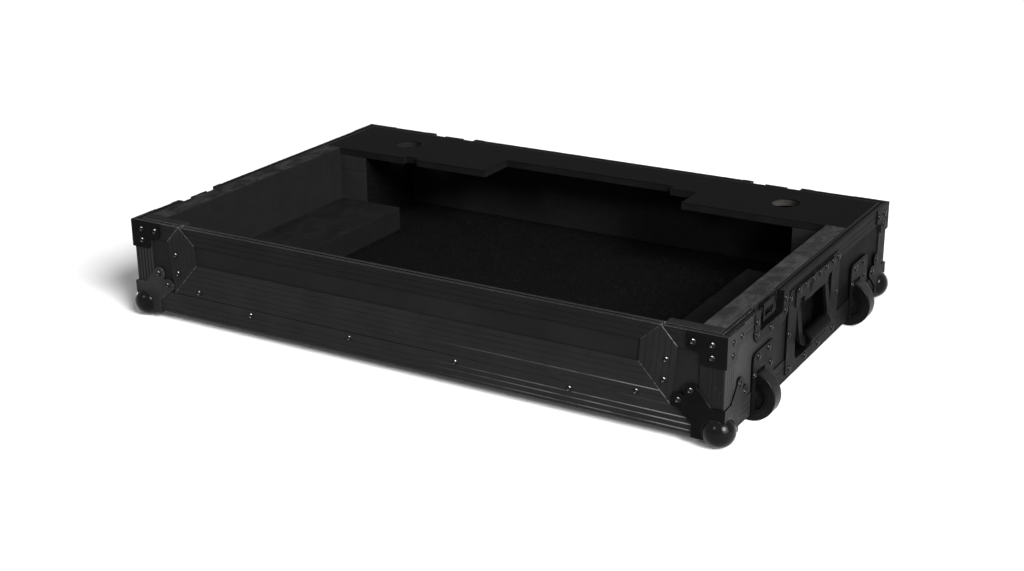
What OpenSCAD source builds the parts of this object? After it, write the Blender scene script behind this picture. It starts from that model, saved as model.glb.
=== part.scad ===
// Open base of a DJ coffin case: trimmed plywood tray with a drop-in front panel, foam bed,
// lift-out rear deck, keeper halves of the lid latches, sprung end handles and two tow wheels.
// Case coordinates start at the front left bottom corner of the trims: X right, Y back, Z up.

/* [Case] */
// Width over the edge trims
case_w = 886; // [820:1:960]
// Depth over the edge trims
case_d = 578; // [556:1:640]
// Height from the bottom edge to the rim
case_h = 130; // [128:1:150]
// Thickness of the plywood boards
board_t = 9; // [8:0.5:12]

/* [Edge trims] */
// Thickness of the aluminium legs
trim_t = 1.6; // [1.2:0.1:2]
// Width of each leg of the bottom and corner angles
edge_leg = 32; // [28:0.5:34]
// Outer radius of the bottom and corner angles
edge_r = 3; // [2.6:0.1:4]
// Height of the outer leg of the rim and of the opening trims
rim_leg = 23; // [21:0.5:25]
// Height of their inner leg
inner_leg = 9; // [6:0.5:12]
// Thickness of their web over the board's edge
web_t = 3.2; // [2.8:0.1:4]
// Width of the groove in the web
key_w = 4; // [3:0.1:5]
// Depth of the groove in the web
key_d = 1.6; // [1.2:0.1:2]
// Clearance between the front panel and its opening
key_gap = 0.3; // [0.2:0.05:0.5]
// Width of a shallow decorative groove
reed_w = 0.8; // [0.4:0.1:1.2]
// Depth of a shallow decorative groove
reed_d = 0.35; // [0.2:0.05:0.6]
// Spacing of the shallow grooves
reed_pitch = 7.5; // [6:0.5:8]
// Spacing of the shallow grooves on the corner angles
corner_reeds = 5.5; // [4:0.5:7]
// From an angle's corner to its first groove
reed_first = 5.5; // [4.5:0.5:7]

/* [Front opening] */
// From the case side to the opening, at the rim
opening_inset = 82; // [76:1:100]
// Lean of the opening's sides
opening_slant = 5; // [3:0.5:8]
// Board left in sight between the sill's trim and the bottom angle
sill_gap = 1; // [0.5:0.5:6]

/* [Corners] */
// Diameter of the corner balls
ball_d = 41; // [38:0.5:44]
// From the case faces in to the centre of a ball
ball_inset = 9.5; // [8:0.5:11]
// From the bottom edge up to the centre of a ball
ball_rise = 8.5; // [7:0.5:10]
// Thickness of the ball corner's plates
corner_t = 2; // [1.6:0.1:2.5]
// Length of a plate along the case edge
wing_flat = 40; // [38:0.5:44]
// Width of a plate's straight stretch beside the edge
wing_notch = 16; // [12:0.5:20]
// Near place of a lobe's rivet, from the corner
lobe_near = 42; // [40:0.5:46]
// Far place of a lobe's rivet, from the corner
lobe_far = 57; // [55:0.5:60]
// Radius of a lobe
lobe_r = 9.3; // [8.5:0.1:10]
// Thickness of the top corner braces
brace_t = 1.6; // [1.2:0.1:2]
// Reach of a brace along the rim
brace_arm = 49; // [45:0.5:54]
// Reach of a brace down the corner
brace_drop = 39; // [36:0.5:44]
// Width of a brace down the corner
brace_w = 31; // [27:0.5:34]
// Diameter of the rivet heads
rivet_d = 8; // [6:0.1:9]
// Height of the rivet heads
rivet_h = 1.8; // [1.2:0.1:2.4]
// Spacing of the rivets along the bottom angles
rivet_pitch = 162; // [120:1:180]
// Least distance from a case corner to the first of those rivets
row_margin = 130; // [100:1:150]
// Height of the rivet row on the bottom angles
rivet_row = 24; // [20:0.5:27]

/* [Wheels] */
// Diameter of a wheel
wheel_d = 64; // [58:1:68]
// Width of a wheel
wheel_w = 22; // [18:0.5:24]
// From the case front to the first wheel
wheel_y = 104; // [101:1:108]
// From the case back to the second wheel
wheel_back = 125; // [121:1:128]
// From the case side in to the axle
wheel_inset = 6; // [4:0.5:8]
// Free space beside a wheel
wheel_play = 2.5; // [1.5:0.1:3]
// Free space round a wheel
wheel_arch = 3; // [2:0.1:4]
// Diameter of the axle
axle_d = 8; // [6:0.5:10]
// Radial clearance of the hub on the axle
axle_gap = 0.05; // [0.03:0.01:0.08]
// Diameter of the hub
hub_d = 44; // [40:0.5:46]
// Depth of the dished hub faces
hub_dish = 5; // [3:0.5:7]
// Rounding of the tyre's shoulders
tyre_r = 2; // [1:0.5:4]
// Thickness of the bracket's face plate
bracket_t = 2; // [1.5:0.1:2.5]
// Thickness of the bracket's arch and cheeks
cheek_t = 1.5; // [1.2:0.1:2]
// Gap between the face plate and the latch dish above it
bracket_drop = 10; // [7:0.5:13]
// Width of the face plate's narrow leg
leg_narrow = 10.5; // [9:0.5:13]
// Width of the face plate's wide leg
leg_wide = 28.5; // [22:0.5:32]

/* [Latches] */
// Width of a keeper dish
latch_w = 108; // [100:1:112]
// Height of a keeper dish
latch_h = 40; // [36:1:44]
// Radius of its lower corners
latch_r = 18; // [10:1:20]
// Width of its recess
pan_w = 75; // [66:1:78]
// Height of its recess
pan_h = 26.5; // [24:0.5:29]
// Depth of its recess from the case side
pan_depth = 10.5; // [10:0.1:11]
// Thickness of the pressed steel
latch_t = 1.5; // [1.2:0.1:1.8]
// Gap between the side latches and the handle dishes
latch_gap = 2; // [1:0.5:6]
// From the case sides to the back latches
latch_x = 166; // [150:1:220]
// Width of a keeper
keeper_w = 34; // [28:0.5:38]
// Height of a keeper
keeper_h = 22; // [20:0.5:23]
// Depth of the keeper's hook behind the case side
keeper_in = 3; // [2:0.5:4]
// Width of the hook's window
window_w = 26; // [18:0.5:27]
// Height of the hook's window
window_h = 8.5; // [6:0.5:10]
// From the keeper's top down to the window
window_drop = 8; // [6:0.5:9]

/* [Handles] */
// From the middle of the case forward to the middle of a handle
handle_shift = 6; // [0:0.5:8]
// Width of the handle dish
handle_w = 185; // [175:1:185]
// Height of the handle dish
handle_h = 114; // [108:1:116]
// From the rim down to the dish
handle_drop = 9; // [7:0.5:10]
// Radius of the dish's corners
handle_r = 10; // [6:1:14]
// Thickness of the pressed dish
handle_t = 1.6; // [1.2:0.1:2]
// Width of the hand recess
recess_w = 126; // [122:1:132]
// Height of the hand recess
recess_h = 92; // [89:1:95]
// Depth of the hand recess
recess_depth = 22; // [20:1:26]
// Radius of the recess corners
recess_r = 12; // [8:1:16]
// From the dish's lower edge up to the recess
recess_sill = 13; // [12:0.5:14]
// Width of the hinge cover
cover_w = 142; // [136:1:150]
// Height of the hinge cover
cover_h = 26; // [24:0.5:27]
// From the dish's upper edge down to the hinge cover
cover_drop = 2; // [1:0.5:3]
// Thickness of the hinge cover
cover_t = 2; // [1.2:0.1:2.5]
// Width of the raised field on the hinge cover
field_w = 44; // [30:1:60]
// Height of the raised field
field_h = 12; // [8:0.5:13]
// Depth of the hinge pin behind the case side
hinge_in = 4; // [4:0.1:5]
// Height of the hinge pin above the cover's lower edge
hinge_up = 4; // [3:0.5:5]
// Diameter of the hinge pin
pin_d = 6; // [5:0.5:7]
// Radial clearance of the bail on the pin
pin_gap = 0.05; // [0.03:0.01:0.08]
// Width of the bail over its arms
bail_w = 114; // [108:1:116]
// Drop from the hinge to the grip
bail_drop = 57; // [52:1:60]
// Outward lean of the resting bail
bail_lean = 8; // [4:1:12]
// Outer radius of the bail's lower bends
bend_r = 16; // [12:1:18]
// Width of the bail's strap
strap_w = 12; // [10:0.5:14]
// Thickness of the bail's strap
strap_t = 4; // [3:0.5:5]
// Diameter of the grip
grip_d = 20; // [17:0.5:22]
// Length of the grip
grip_l = 76; // [60:1:76]
// Turns in each return spring
spring_turns = 7; // [5:1:8]
// Wire diameter of the return springs
spring_wire = 1.6; // [1.2:0.1:1.8]
// Pitch of the return springs
spring_pitch = 3; // [2.6:0.1:3.4]
// Gap between a return spring and the pin
spring_gap = 0.5; // [0.3:0.1:0.8]

/* [Rear deck] */
// Thickness of the deck board
deck_t = 9; // [6:0.5:12]
// Thickness of the facing on the deck
facing_t = 1.5; // [1:0.1:3]
// Depth of the deck's side tabs
tab_depth = 144; // [130:1:150]
// Depth of the deck between the tabs
bridge_depth = 78; // [60:1:88]
// Depth of the small step beside the right tab
ledge_depth = 91; // [90:1:100]
// Width of the small step
ledge_w = 42; // [30:1:60]
// From the case side to the end of the left tab
left_tab = 308; // [260:1:340]
// From the case side to the end of the right tab
right_tab = 254; // [220:1:300]
// Diameter of the finger holes
finger_d = 40; // [32:1:46]
// From the case sides to the finger holes
finger_x = 124; // [110:1:140]
// From the case back to the finger holes
finger_y = 76; // [60:1:90]
// From the case side to the cable notch
notch_x = 160; // [155:1:200]
// Width of the cable notch
notch_w = 24; // [16:1:36]
// Depth of the cable notch
notch_depth = 10; // [6:1:16]
// Gap between the deck and what is round it
deck_gap = 0.5; // [0.3:0.1:1]

/* [Foam] */
// Thickness of the side foams
foam_t = 28; // [26:1:40]
// How far the foams stand above the rim
foam_rise = 1; // [0:0.5:3]
// Width of the steps that carry the controller
step_w = 110; // [90:1:130]
// Height of the steps above the bottom edge
step_h = 48; // [40:1:60]
// Width of the posts under the deck
post_w = 78; // [64:1:100]
// Thickness of the pads behind the front posts
pad_t = 12; // [8:1:16]
// Gap between one foam and the next
foam_gap = 0.3; // [0.2:0.1:0.6]
// Thickness of the felt linings
lining_t = 2; // [1:0.1:3]

/* [Hidden] */
$fn = 48;

// Colours of the black finishes
board_black = "#151516";
trim_black = "#1d1d1f";
steel_black = "#232325";
rubber_black = "#101011";
foam_grey = "#2a2a2b";
felt_black = "#0f0f10";

// Small clearances
cut_gap = 0.5;
seat_gap = 0.02;
pocket_gap = 1;
over = 1;

// Overall: the case stands on its balls and wheels
stand_h = ball_d / 2 - ball_rise;
ball_reach = ball_d / 2 - ball_inset;
wheel_reach = wheel_d / 2 - wheel_inset;
grip_reach = bail_drop * sin(bail_lean) + grip_d / 2 - hinge_in;
centre_shift = (max(wheel_reach, grip_reach) - max(ball_reach, grip_reach)) / 2;

// Boards and trims
inner_x = trim_t + board_t;
floor_z = trim_t + board_t;
rim_w = 2 * trim_t + board_t;
groove_y = rim_w / 2 - key_w / 2;
slant_tan = tan(opening_slant);
slant_sec = 1 / cos(opening_slant);
sill_h = edge_leg + rim_leg + sill_gap;
panel_low = sill_h + key_gap;
brace_fillet = 6;

// Wheels
axle_z = wheel_d / 2 - stand_h;
arch_r = wheel_d / 2 + wheel_arch;
slot_w = wheel_w + 2 * wheel_play;
slot_top = axle_z + sqrt(arch_r * arch_r - wheel_inset * wheel_inset);
wheel_places = [wheel_y, case_d - wheel_back];
bracket_h = case_h - latch_h - bracket_drop;
bracket_r = 9;
hub_rim = 3;
hub_boss_d = 16;

// Handles
handle_y = case_d / 2 - handle_shift;
handle_z = case_h - handle_drop - handle_h / 2;
dish_low = handle_z - handle_h / 2;
dish_high = handle_z + handle_h / 2;
recess_low = dish_low + recess_sill;
cover_z = dish_high - cover_drop - cover_h / 2;
hinge_z = cover_z - cover_h / 2 + hinge_up;
knuckle_d = pin_d + 4.4;
arm_x = bail_w / 2 - strap_w / 2;
notch_side = 2;
notch_up = 5;
field_t = 0.8;
cover_edge = 4.5;
cover_row = cover_z + cover_h / 2 - cover_edge;
field_z = cover_row - rivet_d / 2 - 0.5 - field_h / 2;
coil_r = pin_d / 2 + spring_gap + spring_wire / 2;
coil_leg = recess_depth - handle_t - hinge_in;

// Latches
latch_y = handle_y - handle_w / 2 - latch_gap - latch_w / 2;
pan_r = 5;
keeper_t = 1.6;
keeper_drop = 0.5;

// Deck and foam
deck_front = case_d - tab_depth;
deck_back = case_d - rim_w - deck_gap;
deck_side = rim_w + deck_gap;
deck_under = case_h - facing_t - deck_t;
foam_x = rim_w + foam_t;
foam_y = rim_w + foam_gap + pad_t + foam_gap;
foam_end = deck_front - deck_gap;
foam_top = case_h + foam_rise;
step_end = foam_x + foam_gap + step_w;
post_end = inner_x + post_w;

// Stands the case on the ground with its box centred on the origin
module stand() {
    translate([-case_w / 2 - centre_shift, -case_d / 2, stand_h]) children();
}

// The four sides share one frame: X along the side, Y into the case, Z up
module on_side(side) {
    if (side == "front") children();
    if (side == "right") translate([case_w, 0, 0]) rotate([0, 0, 90]) children();
    if (side == "back") translate([case_w, case_d, 0]) rotate([0, 0, 180]) children();
    if (side == "left") translate([0, case_d, 0]) rotate([0, 0, -90]) children();
}

// A place measured from the case front, along the right or left side
function along(side, y) = side == "left" ? case_d - y : y;

module both_ends() {
    children();
    translate([case_w, 0, 0]) mirror([1, 0, 0]) children();
}

module at_corner(right, back) {
    translate([right ? case_w : 0, back ? case_d : 0, 0])
        mirror([right ? 1 : 0, 0, 0]) mirror([0, back ? 1 : 0, 0]) children();
}

module at_corners() {
    for (right = [false, true], back = [false, true]) at_corner(right, back) children();
}

module box(low, high) {
    translate(low) cube(high - low);
}

// A flat shape in X and Z becomes a plate from depth y0 to y1
module slab(y0, y1) {
    translate([0, y1, 0]) rotate([90, 0, 0]) linear_extrude(y1 - y0) children();
}

// A section in Y and Z runs along X
module run_x(x0, x1) {
    translate([x0, 0, 0]) rotate([90, 0, 90]) linear_extrude(x1 - x0) children();
}

// A round section about an axis along X
module turned_x() {
    rotate([0, 90, 0]) rotate_extrude() children();
}

// Rectangle centred on the origin with round corners
module round_rect(w, h, r) {
    square([w - 2 * r, h], center = true);
    square([w, h - 2 * r], center = true);
    for (x = [-1, 1], y = [-1, 1]) translate([x * (w / 2 - r), y * (h / 2 - r)]) circle(r);
}

// Upright shape of width w from low to high with its two lower corners round
module tongue_shape(w, low, high, r) {
    translate([-w / 2, low + r]) square([w, high - low - r]);
    translate([-w / 2 + r, low]) square([w - 2 * r, r + over]);
    for (x = [-1, 1]) translate([x * (w / 2 - r), low + r]) circle(r);
}

// Shallow grooves in the face u = 0, the first at v, up to the height end
module reeds(first, pitch, end) {
    for (v = [first : pitch : end]) translate([-over, v]) square([over + reed_d, reed_w]);
}

// Section of the trims round an edge: u runs in from the outer face, v is 0 at the edge
module trim_section(grooved) {
    difference() {
        union() {
            translate([0, -rim_leg]) square([trim_t, rim_leg]);
            translate([0, -web_t]) square([rim_w, web_t]);
            translate([trim_t + board_t, -inner_leg]) square([trim_t, inner_leg]);
        }
        if (grooved) translate([groove_y, -key_d]) square([key_w, key_d + over]);
        mirror([0, 1]) reeds(reed_pitch, reed_pitch, rim_leg - reed_pitch);
    }
}

// Section of the tongue that drops into the groove
module tongue_section() {
    translate([groove_y + key_gap, -web_t / 2]) square([key_w - 2 * key_gap, web_t / 2 + key_d]);
}

// Section of the bottom and corner angles, with its outer corner rounded
module angle_section(pitch) {
    end = edge_leg - edge_r - pitch;
    difference() {
        union() {
            translate([edge_r, edge_r]) circle(edge_r);
            translate([edge_r, 0]) square([edge_leg - edge_r, trim_t + edge_r]);
            translate([0, edge_r]) square([trim_t + edge_r, edge_leg - edge_r]);
        }
        translate([trim_t, trim_t]) square(edge_leg);
        reeds(reed_first, pitch, end);
        mirror([1, -1]) reeds(reed_first, pitch, end);
    }
}

// The joint line between front panel and opening, on the left, and corners moved off it by w
function joint_x(z) = opening_inset + (case_h - z) * slant_tan;
function rim_corner(w) = [joint_x(case_h) + w * (slant_tan - slant_sec), case_h - w];
function sill_corner(w) = [joint_x(sill_h) + w * (slant_tan - slant_sec), sill_h - w];
function panel_high_corner(w) = [joint_x(case_h - w) + (key_gap + w) * slant_sec, case_h - w];
function panel_low_corner(w) = [joint_x(panel_low + w) + (key_gap + w) * slant_sec, panel_low + w];
function flip(p) = [case_w - p[0], p[1]];

// The front trims' strips between two widths off the joint line, with their mitred ends
module strip(kind, w0, w1) {
    if (kind == "post") polygon([[0, case_h - w0], rim_corner(w0), rim_corner(w1), [0, case_h - w1]]);
    if (kind == "side") polygon([rim_corner(w0), rim_corner(w1), sill_corner(w1), sill_corner(w0)]);
    if (kind == "sill")
        polygon([sill_corner(w0), sill_corner(w1), flip(sill_corner(w1)), flip(sill_corner(w0))]);
    if (kind == "panel_side")
        polygon([panel_high_corner(w0), panel_low_corner(w0), panel_low_corner(w1), panel_high_corner(w1)]);
    if (kind == "panel_low")
        polygon([panel_low_corner(w0), panel_low_corner(w1), flip(panel_low_corner(w1)),
            flip(panel_low_corner(w0))]);
    if (kind == "panel_high")
        polygon([panel_high_corner(w0), panel_high_corner(w1), flip(panel_high_corner(w1)),
            flip(panel_high_corner(w0))]);
}

// Runs a section along a trim's edge, the slanted ones from above down
module trim_run(kind, start = -case_h) {
    if (kind == "post" || kind == "panel_high") translate([0, 0, case_h]) run_x(0, case_w) children();
    if (kind == "sill") translate([0, 0, sill_h]) run_x(0, case_w) children();
    if (kind == "panel_low") translate([0, 0, panel_low]) mirror([0, 0, 1]) run_x(0, case_w) children();
    if (kind == "side")
        translate([joint_x(sill_h), 0, sill_h]) rotate([0, 90 - opening_slant, 0])
            run_x(start, case_h) children();
    if (kind == "panel_side")
        translate([joint_x(sill_h) + key_gap * slant_sec, 0, sill_h]) rotate([0, 270 - opening_slant, 0])
            mirror([1, 0, 0]) run_x(start, case_h) children();
}

// Cuts a trim's ends at its mitres
module mitred(kind) {
    intersection() {
        children();
        slab(-over, rim_w + over) strip(kind, -key_d - over, rim_leg + over);
    }
}

module grooved_trim(kind) {
    mitred(kind) trim_run(kind) trim_section(true);
}

// The tongue of a slanted trim ends under the rim
module tongued_trim(kind) {
    mitred(kind) {
        trim_run(kind) trim_section(false);
        trim_run(kind, (sill_h + web_t - case_h) * slant_sec) tongue_section();
    }
}

// Pans of the latches and handles, and the wheel arches, in the frame of their side
module pan_shape(grow) {
    tongue_shape(pan_w + 2 * grow, case_h - pan_h - grow, case_h + over, pan_r + grow);
}

module recess_shape(grow) {
    translate([0, recess_low + recess_h / 2])
        round_rect(recess_w + 2 * grow, recess_h + 2 * grow, recess_r + grow);
}

module arch_shape(r) {
    translate([wheel_inset, axle_z]) circle(r);
    translate([wheel_inset - r, -over]) square([2 * r, axle_z + over]);
}

// What the hardware on a side takes out of its board, trims and foam
module hardware_cuts(side, gap) {
    on_side(side) {
        if (side == "back") {
            for (x = [latch_x, case_w - latch_x])
                translate([x, 0, 0]) slab(-over, pan_depth + gap) pan_shape(latch_t + gap);
        } else {
            translate([along(side, latch_y), 0, 0]) slab(-over, pan_depth + gap) pan_shape(latch_t + gap);
            translate([along(side, handle_y), 0, 0])
                slab(-over, recess_depth + gap) recess_shape(handle_t + gap);
        }
        if (side == "right") {
            for (x = wheel_places)
                run_x(x - slot_w / 2 - cheek_t - gap, x + slot_w / 2 + cheek_t + gap)
                    arch_shape(arch_r + cheek_t + gap);
        }
    }
}

// Boards

module bottom_panel() {
    color(board_black) stand() difference() {
        box([inner_x, inner_x, trim_t], [case_w - inner_x, case_d - inner_x, floor_z]);
        hardware_cuts("right", cut_gap);
        hardware_cuts("left", cut_gap);
    }
}

module front_wall() {
    top = rim_corner(web_t);
    low = sill_corner(web_t);
    lift = [0, over];
    color(board_black) stand() slab(trim_t, inner_x) difference() {
        translate([trim_t, trim_t]) square([case_w - 2 * trim_t, case_h - web_t - trim_t]);
        polygon([top + lift, top, low, flip(low), flip(top), flip(top) + lift]);
    }
}

module board(side, from, to) {
    color(board_black) stand() difference() {
        on_side(side) box([from, trim_t, trim_t], [to, inner_x, case_h - web_t]);
        hardware_cuts(side, cut_gap);
    }
}

module back_wall() { board("back", trim_t, case_w - trim_t); }
module left_wall() { board("left", inner_x, case_d - inner_x); }
module right_wall() { board("right", inner_x, case_d - inner_x); }

// Edge and corner angles

module bottom_edge(side, length) {
    color(trim_black) stand() difference() {
        on_side(side) run_x(edge_leg, length - edge_leg) angle_section(reed_pitch);
        if (side == "left" || side == "right") hardware_cuts(side, cut_gap);
    }
}

module edge_front() { bottom_edge("front", case_w); }
module edge_back() { bottom_edge("back", case_w); }
module edge_left() { bottom_edge("left", case_d); }
module edge_right() { bottom_edge("right", case_d); }

module corner_angles() {
    color(trim_black) stand() at_corners()
        translate([0, 0, edge_leg]) linear_extrude(case_h - rim_leg - edge_leg) angle_section(corner_reeds);
}

// Rims, mitred at the case corners

module mitre(length) {
    linear_extrude(case_h + over)
        polygon([[0, 0], [length, 0], [length - rim_w, rim_w], [rim_w, rim_w]]);
}

module rim(side, length) {
    color(trim_black) stand() difference() {
        on_side(side) intersection() {
            translate([0, 0, case_h]) run_x(0, length) trim_section(true);
            mitre(length);
        }
        hardware_cuts(side, cut_gap);
    }
}

module rim_back() { rim("back", case_w); }
module rim_left() { rim("left", case_d); }
module rim_right() { rim("right", case_d); }

module rim_front_posts() {
    color(trim_black) stand() both_ends() intersection() {
        grooved_trim("post");
        mitre(case_w);
    }
}

module opening_trim_sides() {
    color(trim_black) stand() both_ends() grooved_trim("side");
}

module opening_trim_sill() {
    color(trim_black) stand() grooved_trim("sill");
}

// Ball corners: three lobed plates and the ball, pressed in one

// Straight stretch beside the case edge, then a flank up to each lobe
module wing_shape() {
    flank = lobe_r * [-sin(lobe_flank), cos(lobe_flank)];
    near = [lobe_near, lobe_far];
    translate([-corner_t, -corner_t]) square([wing_flat + corner_t, wing_notch + corner_t]);
    translate([-corner_t, -corner_t]) square([wing_notch + corner_t, wing_flat + corner_t]);
    polygon([[0, 0], [wing_notch, wing_flat], near + flank, near, [near[1], near[0]],
        [near[1], near[0]] + [flank[1], flank[0]], [wing_flat, wing_notch]]);
    translate(near) circle(lobe_r);
    translate([near[1], near[0]]) circle(lobe_r);
}

lobe_flank = atan2(lobe_far - wing_flat, lobe_near - wing_notch);

module ball_corner(right, back) {
    color(steel_black) stand() at_corner(right, back) {
        slab(-corner_t, 0) wing_shape();
        translate([-corner_t, 0, 0]) rotate([90, 0, 90]) linear_extrude(corner_t) wing_shape();
        translate([0, 0, -corner_t]) linear_extrude(corner_t) wing_shape();
        difference() {
            translate([ball_inset, ball_inset, ball_rise]) sphere(ball_d / 2, $fn = 96);
            cube(ball_d);
        }
    }
}

module ball_corner_front_left() { ball_corner(false, false); }
module ball_corner_front_right() { ball_corner(true, false); }
module ball_corner_back_left() { ball_corner(false, true); }
module ball_corner_back_right() { ball_corner(true, true); }

// Top corner braces: an arm along the rim and a leg down the corner on each face
module brace_shape() {
    inner = [brace_w, rim_leg];
    intersection() {
        mirror([0, 1, 0]) union() {
            round_rect(2 * brace_arm, 2 * rim_leg, brace_fillet);
            round_rect(2 * brace_w, 2 * brace_drop, brace_fillet);
            difference() {
                translate(inner) square(brace_fillet);
                translate(inner + [brace_fillet, brace_fillet]) circle(brace_fillet);
            }
        }
        translate([-brace_t, -brace_drop - over]) square([brace_arm + 2 * brace_t, brace_drop + over]);
    }
}

module corner_braces() {
    color(steel_black) stand() at_corners() translate([0, 0, case_h]) {
        slab(-brace_t, 0) brace_shape();
        translate([-brace_t, 0, 0]) rotate([90, 0, 90]) linear_extrude(brace_t) brace_shape();
    }
}

// Latch keeper halves

module latch_dish() {
    slab(-latch_t, 0) difference() {
        tongue_shape(latch_w, case_h - latch_h, case_h, latch_r);
        pan_shape(0);
    }
    intersection() {
        difference() {
            slab(-latch_t, pan_depth) pan_shape(latch_t);
            slab(-latch_t - over, pan_depth - latch_t) pan_shape(0);
        }
        box([-latch_w, -latch_w, 0], [latch_w, latch_w, case_h]);
    }
}

// The latches by name: one on each end and two on the back
module latch_at(name) {
    if (name == "back_left") on_side("back") translate([case_w - latch_x, 0, 0]) children();
    if (name == "back_right") on_side("back") translate([latch_x, 0, 0]) children();
    on_side(name) translate([along(name, latch_y), 0, 0]) children();
}

module latch_dish_left() { color(steel_black) stand() latch_at("left") latch_dish(); }
module latch_dish_right() { color(steel_black) stand() latch_at("right") latch_dish(); }
module latch_dish_back_right() { color(steel_black) stand() latch_at("back_right") latch_dish(); }
module latch_dish_back_left() { color(steel_black) stand() latch_at("back_left") latch_dish(); }

// Keeper: a windowed hook, a foot and a back plate riveted to the pan
module keeper() {
    low = case_h - keeper_drop - keeper_h;
    back = pan_depth - latch_t;
    difference() {
        slab(keeper_in, keeper_in + keeper_t) translate([-keeper_w / 2, low]) square([keeper_w, keeper_h]);
        slab(0, back) translate([-window_w / 2, low + keeper_h - window_drop - window_h])
            square([window_w, window_h]);
    }
    box([-keeper_w / 2, keeper_in, low], [keeper_w / 2, back, low + keeper_t]);
    box([-keeper_w / 2, back - keeper_t, low], [keeper_w / 2, back, low + keeper_h - keeper_t]);
}

module latch_keeper_left() { color(steel_black) stand() latch_at("left") keeper(); }
module latch_keeper_right() { color(steel_black) stand() latch_at("right") keeper(); }
module latch_keeper_back_right() { color(steel_black) stand() latch_at("back_right") keeper(); }
module latch_keeper_back_left() { color(steel_black) stand() latch_at("back_left") keeper(); }

// Sprung handles

module handle_at(side) {
    on_side(side) translate([along(side, handle_y), 0, 0]) children();
}

module at_hinge() {
    translate([0, hinge_in, hinge_z]) children();
}

module bar_x(d, x0, x1) {
    translate([x0, 0, 0]) rotate([0, 90, 0]) cylinder(d = d, h = x1 - x0);
}

module handle_dish() {
    difference() {
        union() {
            slab(-handle_t, 0) translate([0, handle_z]) round_rect(handle_w, handle_h, handle_r);
            slab(-handle_t, recess_depth) recess_shape(handle_t);
        }
        slab(-handle_t - over, recess_depth - handle_t) recess_shape(0);
        at_hinge() bar_x(pin_d + 2 * seat_gap, -recess_w, recess_w);
    }
}

module handle_cover() {
    difference() {
        union() {
            slab(-handle_t - cover_t, -handle_t) translate([0, cover_z]) round_rect(cover_w, cover_h, 5);
            slab(-handle_t - cover_t - field_t, -handle_t)
                translate([0, field_z]) round_rect(field_w, field_h, 2);
        }
        for (x = [-arm_x, arm_x])
            box([x - strap_w / 2 - notch_side, -handle_t - cover_t - over, cover_z - cover_h],
                [x + strap_w / 2 + notch_side, 0, hinge_z + notch_up]);
    }
}

module bail() {
    low = hinge_z - bail_drop - strap_w / 2;
    at_hinge() rotate([-bail_lean, 0, 0]) difference() {
        union() {
            slab(-strap_t / 2, strap_t / 2) translate([0, -hinge_z]) difference() {
                tongue_shape(bail_w, low, hinge_z, bend_r);
                tongue_shape(bail_w - 2 * strap_w, low + strap_w, hinge_z + over, bend_r - strap_w);
            }
            for (x = [-arm_x, arm_x]) bar_x(knuckle_d, x - strap_w / 2, x + strap_w / 2);
        }
        bar_x(pin_d + 2 * pin_gap, -bail_w, bail_w);
    }
}

// The grip fits the bail's bar and has soft ends
module grip() {
    end_r = 3;
    at_hinge() rotate([-bail_lean, 0, 0]) translate([0, 0, -bail_drop]) difference() {
        turned_x() {
            translate([0, -grip_l / 2 + end_r]) square([grip_d / 2, grip_l - 2 * end_r]);
            translate([0, -grip_l / 2]) square([grip_d / 2 - end_r, grip_l]);
            for (y = [-1, 1]) translate([grip_d / 2 - end_r, y * (grip_l / 2 - end_r)]) circle(end_r);
        }
        box([-grip_l, -strap_t / 2, -strap_w / 2], [grip_l, strap_t / 2, strap_w / 2]);
    }
}

// Return spring: round the pin from a leg above it to a leg below it, both ending on the recess
spring_turn = 360 * (spring_turns + 0.5);
spring_rings = 8 * spring_turns + 4;
spring_x = (arm_x - strap_w / 2) / 2 - spring_pitch * (spring_turns + 0.5) / 2;
function spring_angle(i) = spring_turn * i / spring_rings;
function spring_radial(i) = [0, -sin(spring_angle(i)), cos(spring_angle(i))];
function spring_along(i) = [0, -cos(spring_angle(i)), -sin(spring_angle(i))];
function spring_point(i) = coil_r * spring_radial(i) + [spring_x + spring_pitch * spring_angle(i) / 360, 0, 0];
spring_legs = [[0, coil_leg, 0], [0, spring_wire, 0]];
spring_path = concat([for (leg = spring_legs) spring_point(0) + leg],
    [for (i = [0 : spring_rings]) spring_point(i)],
    [for (i = [1, 0]) spring_point(spring_rings) + spring_legs[i]]);
spring_turns_at = concat([0, 0], [for (i = [0 : spring_rings]) i], [spring_rings, spring_rings]);
spring_sides = 6;

module return_spring() {
    last = len(spring_path) - 1;
    points = [for (k = [0 : last]) for (a = [0 : spring_sides - 1]) spring_path[k]
        + cos(360 * a / spring_sides) * spring_wire / 2 * spring_radial(spring_turns_at[k])
        + sin(360 * a / spring_sides) * [spring_wire / 2, 0, 0]];
    sides = [for (k = [0 : last - 1]) for (a = [0 : spring_sides - 1]) let (b = (a + 1) % spring_sides)
        for (half = [0, 1]) half == 0
            ? [k * spring_sides + a, (k + 1) * spring_sides + a, (k + 1) * spring_sides + b]
            : [k * spring_sides + a, (k + 1) * spring_sides + b, k * spring_sides + b]];
    ends = [for (a = [1 : spring_sides - 2]) for (k = [0, last]) k == 0
        ? [0, a, a + 1]
        : [k * spring_sides, k * spring_sides + a + 1, k * spring_sides + a]];
    at_hinge() polyhedron(points, concat(sides, ends));
}

spring_gaps = [for (i = [0 : len(spring_path) - 7]) for (j = [i + 6 : len(spring_path) - 1])
    norm(spring_path[i] - spring_path[j]) - spring_wire];
echo(spring_least_gap = min(spring_gaps));

module handle_dish_right() { color(steel_black) stand() handle_at("right") handle_dish(); }
module handle_dish_left() { color(steel_black) stand() handle_at("left") handle_dish(); }
module handle_covers() {
    color(steel_black) stand() for (side = ["right", "left"]) handle_at(side) handle_cover();
}

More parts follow.
